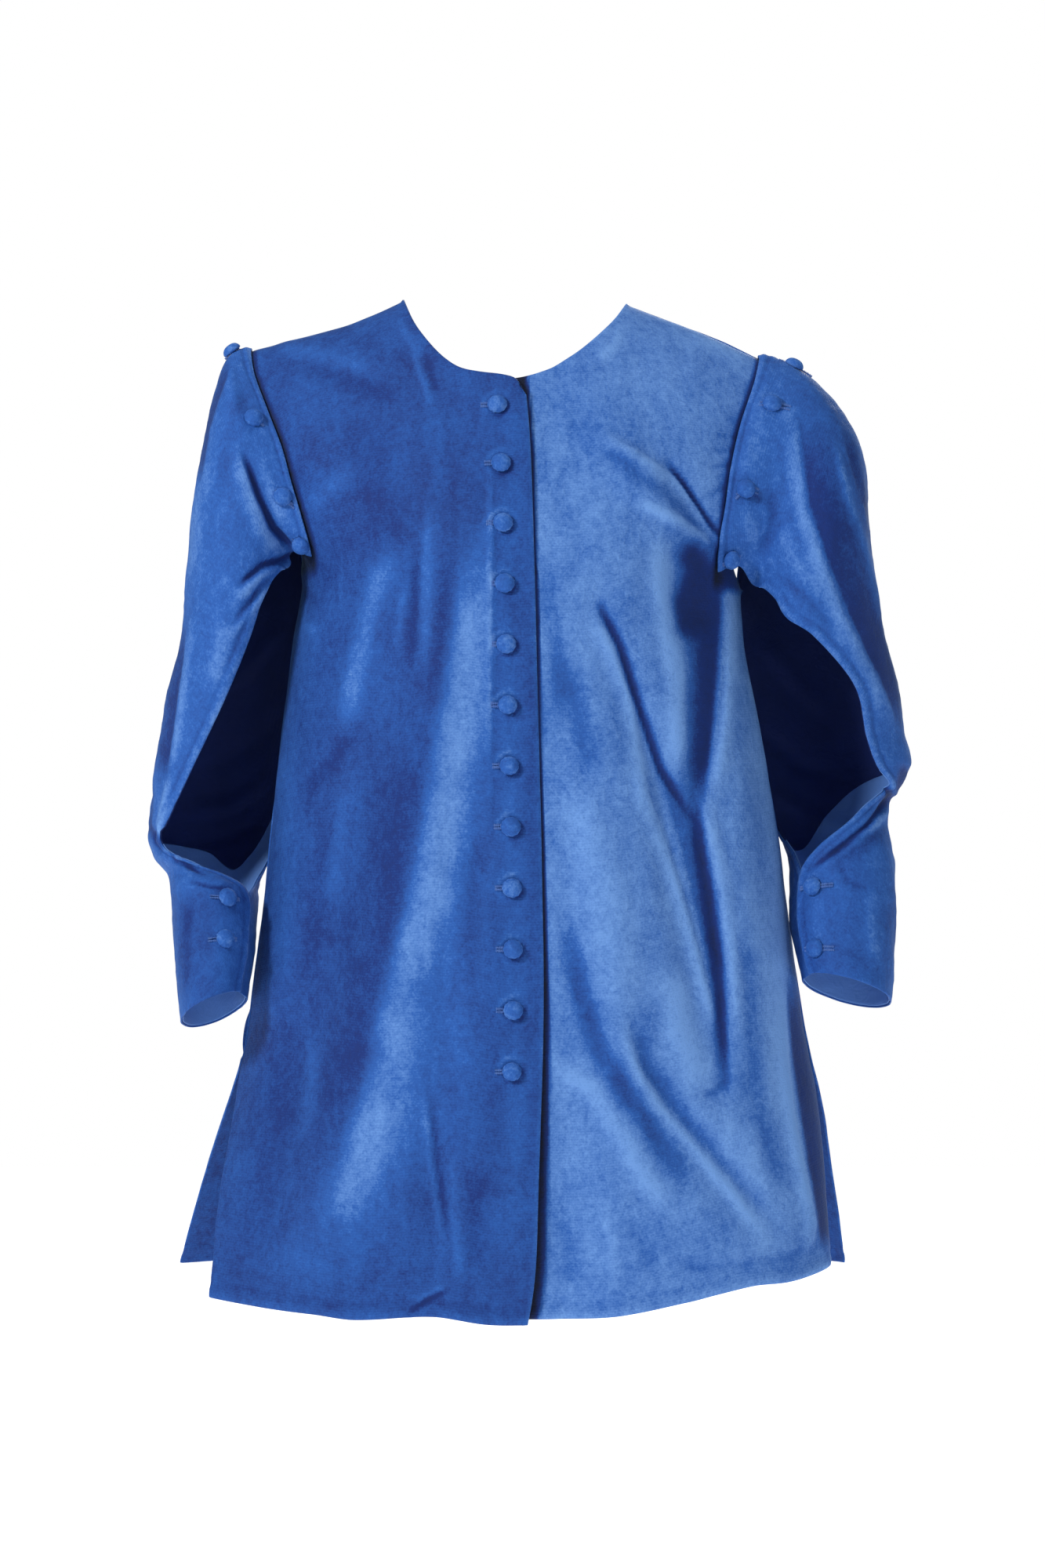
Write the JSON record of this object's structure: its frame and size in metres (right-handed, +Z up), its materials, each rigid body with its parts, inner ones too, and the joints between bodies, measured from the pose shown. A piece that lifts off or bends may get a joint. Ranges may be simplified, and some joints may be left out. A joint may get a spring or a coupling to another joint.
{
  "type": "medieval surcoat",
  "caption": "Hip-length collarless velvet surcoat, buttoned down the front, with sleeves buttoned on at the armholes, open along the inner arm and closed at the cuffs.",
  "frame": {"origin": "midway between the two shoulder tips, where the wearer's shoulders carry the coat", "axes": "+Z is up, the front of the coat faces -Y, and +X is the wearer's left; the longest extent runs along Z"},
  "size_m": [0.612, 0.2589, 0.7943],
  "materials": {
    "velvet_deep_blue": "crushed cotton velvet with a mottled nap",
    "velvet_light_blue": "the same velvet where its nap catches the light",
    "facing_blue": "smooth plain weave",
    "lining_navy": "smooth dark lining"
  },
  "bodies": {
    "root": {"front_right": "velvet_deep_blue", "front_left": "velvet_light_blue", "back": "velvet_deep_blue", "sleeve_right": "velvet_deep_blue", "sleeve_left": "velvet_deep_blue", "sleeve_lining_right": "lining_navy", "sleeve_lining_left": "lining_navy", "cuff_facing_right": "facing_blue", "cuff_facing_left": "facing_blue", "button_front_01": "velvet_light_blue", "button_front_02": "velvet_light_blue", "button_front_03": "velvet_light_blue", "button_front_04": "velvet_light_blue", "button_front_05": "velvet_light_blue", "button_front_06": "velvet_light_blue", "button_front_07": "velvet_light_blue", "button_front_08": "velvet_light_blue", "button_front_09": "velvet_light_blue", "button_front_10": "velvet_light_blue", "button_front_11": "velvet_light_blue", "button_front_12": "velvet_light_blue", "button_right_front_1": "velvet_light_blue", "button_right_front_2": "velvet_light_blue", "button_right_front_3": "velvet_light_blue", "button_right_top": "velvet_light_blue", "button_right_back_1": "velvet_light_blue", "button_right_back_2": "velvet_light_blue", "button_right_back_3": "velvet_light_blue", "button_right_cuff_1": "velvet_light_blue", "button_right_cuff_2": "velvet_light_blue", "button_left_front_1": "velvet_light_blue", "button_left_front_2": "velvet_light_blue", "button_left_front_3": "velvet_light_blue", "button_left_top": "velvet_light_blue", "button_left_back_1": "velvet_light_blue", "button_left_back_2": "velvet_light_blue", "button_left_back_3": "velvet_light_blue", "button_left_cuff_1": "velvet_light_blue", "button_left_cuff_2": "velvet_light_blue"}
  },
  "joints": []
}
